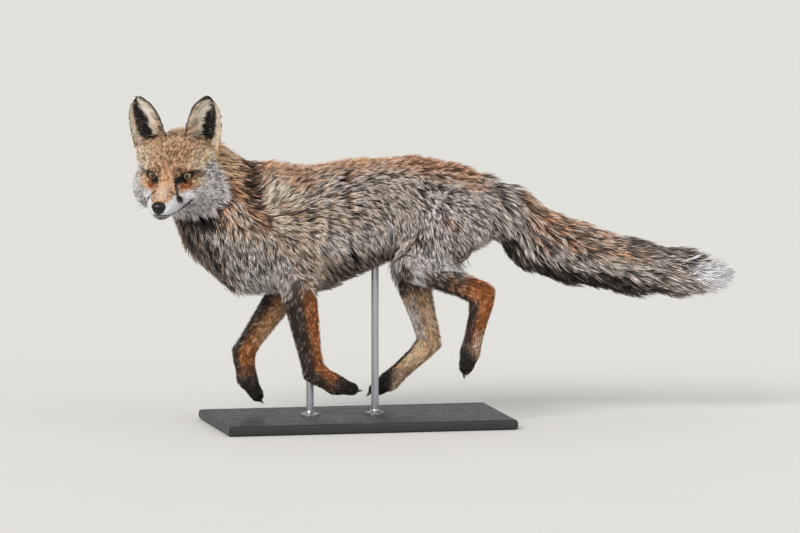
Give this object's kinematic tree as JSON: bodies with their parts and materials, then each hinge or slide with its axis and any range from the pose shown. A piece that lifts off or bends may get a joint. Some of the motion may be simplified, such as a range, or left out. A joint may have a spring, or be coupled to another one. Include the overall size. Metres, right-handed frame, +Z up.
{
  "type": "red fox",
  "caption": "Life-size museum model of a red fox caught in mid lope with its head turned to its left, held over a flat base by two steel rods.",
  "frame": {"origin": "on the floor, under the middle of the model's bounds", "axes": "+Z up, the fox runs towards -X with its tail towards +X, its left side faces -Y and its head is turned to -Y"},
  "size_m": [0.9878, 0.2818, 0.5411],
  "materials": {
    "coat_russet": "short to long russet fur of the head and neck",
    "coat_grizzle": "long grey-brown fur with pale tips, of the trunk and thighs",
    "coat_dark": "short black and rust fur of the legs",
    "coat_brush": "long bushy grey-brown fur of the tail",
    "coat_white": "white fur of the chin and the tail's tip",
    "coat_ear": "short fur of the ears, pale inside with a dark rim",
    "eye_glass": "glossy amber iris with a dark slit",
    "nose_leather": "black, pebbled and slightly moist",
    "claw_horn": "dark horn",
    "stand_board": "dark satin paint with eased edges",
    "stand_steel": "brushed steel rod with a turned foot"
  },
  "bodies": {
    "root": {"belly": "coat_grizzle", "chest": "coat_grizzle", "ear_left": "coat_ear", "ear_right": "coat_ear", "eye_left": "eye_glass", "eye_right": "eye_glass", "foreleg_left_claw_1": "claw_horn", "foreleg_left_claw_2": "claw_horn", "foreleg_left_claw_3": "claw_horn", "foreleg_left_claw_4": "claw_horn", "foreleg_left_forearm": "coat_dark", "foreleg_left_paw": "coat_dark", "foreleg_left_upper": "coat_grizzle", "foreleg_right_claw_1": "claw_horn", "foreleg_right_claw_2": "claw_horn", "foreleg_right_claw_3": "claw_horn", "foreleg_right_claw_4": "claw_horn", "foreleg_right_forearm": "coat_dark", "foreleg_right_paw": "coat_dark", "foreleg_right_upper": "coat_grizzle", "head": "coat_russet", "hindleg_left_claw_1": "claw_horn", "hindleg_left_claw_2": "claw_horn", "hindleg_left_claw_3": "claw_horn", "hindleg_left_claw_4": "claw_horn", "hindleg_left_metatarsus": "coat_dark", "hindleg_left_paw": "coat_dark", "hindleg_left_shank": "coat_dark", "hindleg_left_thigh": "coat_grizzle", "hindleg_right_claw_1": "claw_horn", "hindleg_right_claw_2": "claw_horn", "hindleg_right_claw_3": "claw_horn", "hindleg_right_claw_4": "claw_horn", "hindleg_right_metatarsus": "coat_dark", "hindleg_right_paw": "coat_dark", "hindleg_right_shank": "coat_dark", "hindleg_right_thigh": "coat_grizzle", "lower_jaw": "coat_white", "neck": "coat_russet", "nose": "nose_leather", "rump": "coat_grizzle", "stand_base": "stand_board", "stand_rod_front": "stand_steel", "stand_rod_rear": "stand_steel", "tail_base": "coat_brush", "tail_middle": "coat_brush", "tail_tip": "coat_white"}
  },
  "joints": []
}
